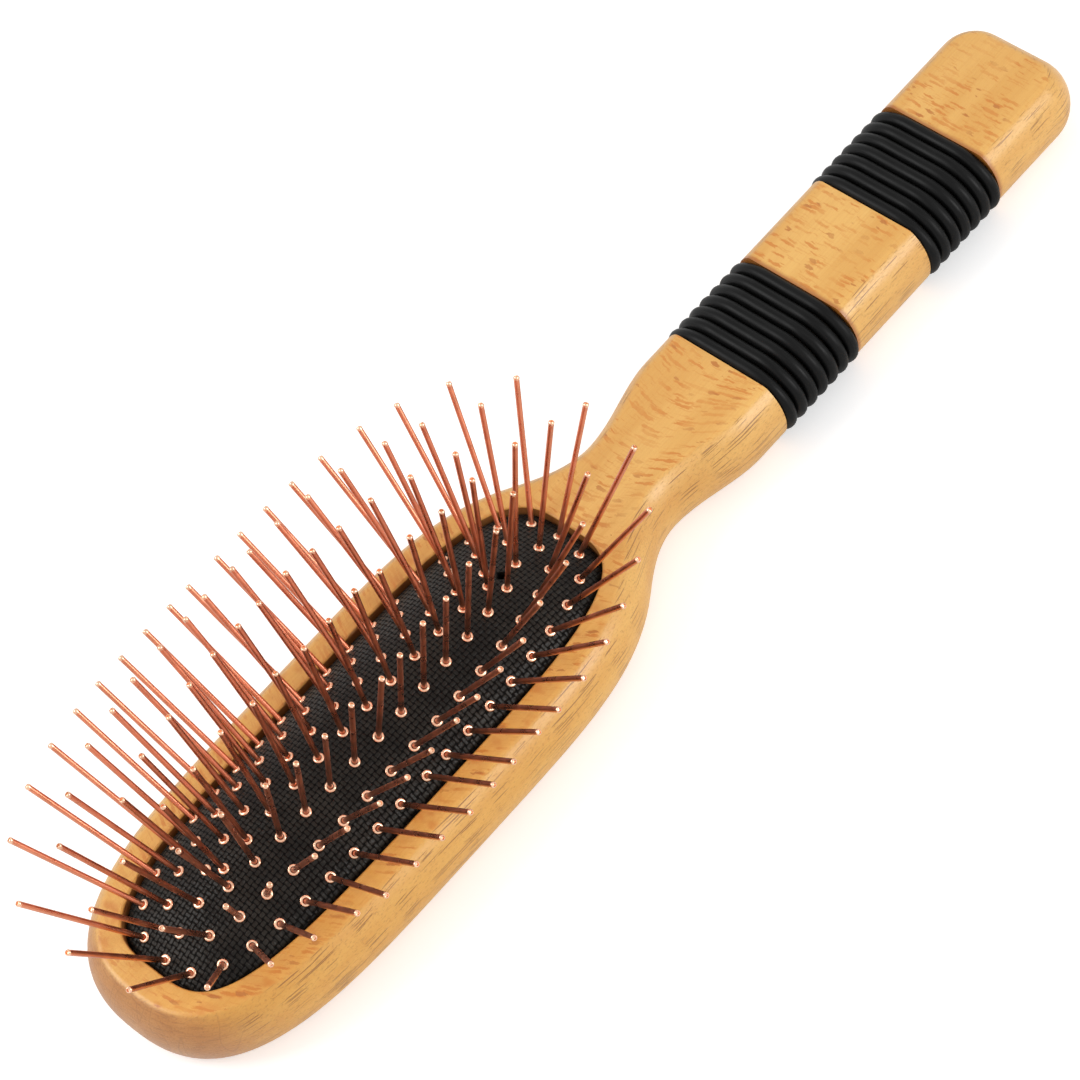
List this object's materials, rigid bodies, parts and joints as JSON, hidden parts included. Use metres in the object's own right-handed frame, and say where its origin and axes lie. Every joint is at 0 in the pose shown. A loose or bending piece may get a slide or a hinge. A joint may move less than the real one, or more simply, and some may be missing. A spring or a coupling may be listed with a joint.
{
  "type": "oval pin brush",
  "caption": "Wooden pet grooming brush: long oval head with an air cushion of copper-coloured metal pins, and a handle with two bands of rubber grip rings.",
  "frame": {"origin": "on the flat back of the wooden body, straight under the centre of the cushion", "axes": "+X along the brush towards the handle, +Z out of the cushion the way the pins point, +Y across"},
  "size_m": [0.2436, 0.0692, 0.0505],
  "materials": {
    "beech": "satin lacquer",
    "cushion_rubber": "fine woven emboss, semi-matt",
    "copper_pins": "copper plated, polished",
    "grip_rubber": "matt"
  },
  "bodies": {
    "brush_body": {"wooden_body": "beech", "cushion_membrane": "cushion_rubber", "grip_ring_1_1": "grip_rubber", "grip_ring_1_2": "grip_rubber", "grip_ring_1_3": "grip_rubber", "grip_ring_1_4": "grip_rubber", "grip_ring_1_5": "grip_rubber", "grip_ring_1_6": "grip_rubber", "grip_ring_1_7": "grip_rubber", "grip_ring_2_1": "grip_rubber", "grip_ring_2_2": "grip_rubber", "grip_ring_2_3": "grip_rubber", "grip_ring_2_4": "grip_rubber", "grip_ring_2_5": "grip_rubber", "grip_ring_2_6": "grip_rubber", "grip_ring_2_7": "grip_rubber"},
    "centre_pins": {"pins_centre_row": "copper_pins"},
    "third_pins": {"pins_third_row": "copper_pins"},
    "second_pins": {"pins_second_row": "copper_pins"},
    "outer_pins": {"pins_outer_row": "copper_pins"}
  },
  "joints": [
    {"name": "centre_press", "type": "slide", "parent": "brush_body", "child": "centre_pins", "axis": [0, 0, -1], "range_m": [0, 0.004], "stiffness_N_per_m": 1200, "deforming": ["cushion_membrane"]},
    {"name": "third_press", "type": "slide", "parent": "brush_body", "child": "third_pins", "axis": [0, 0, -1], "range_m": [0, 0.0036], "stiffness_N_per_m": 1200},
    {"name": "second_press", "type": "slide", "parent": "brush_body", "child": "second_pins", "axis": [0, 0, -1], "range_m": [0, 0.0028], "stiffness_N_per_m": 1200},
    {"name": "outer_press", "type": "slide", "parent": "brush_body", "child": "outer_pins", "axis": [0, 0, -1], "range_m": [0, 0.0015], "stiffness_N_per_m": 1200}
  ],
  "couplings": [
    {"joint": "third_press", "follows": "centre_press", "ratio": 0.9},
    {"joint": "second_press", "follows": "centre_press", "ratio": 0.69},
    {"joint": "outer_press", "follows": "centre_press", "ratio": 0.36}
  ]
}
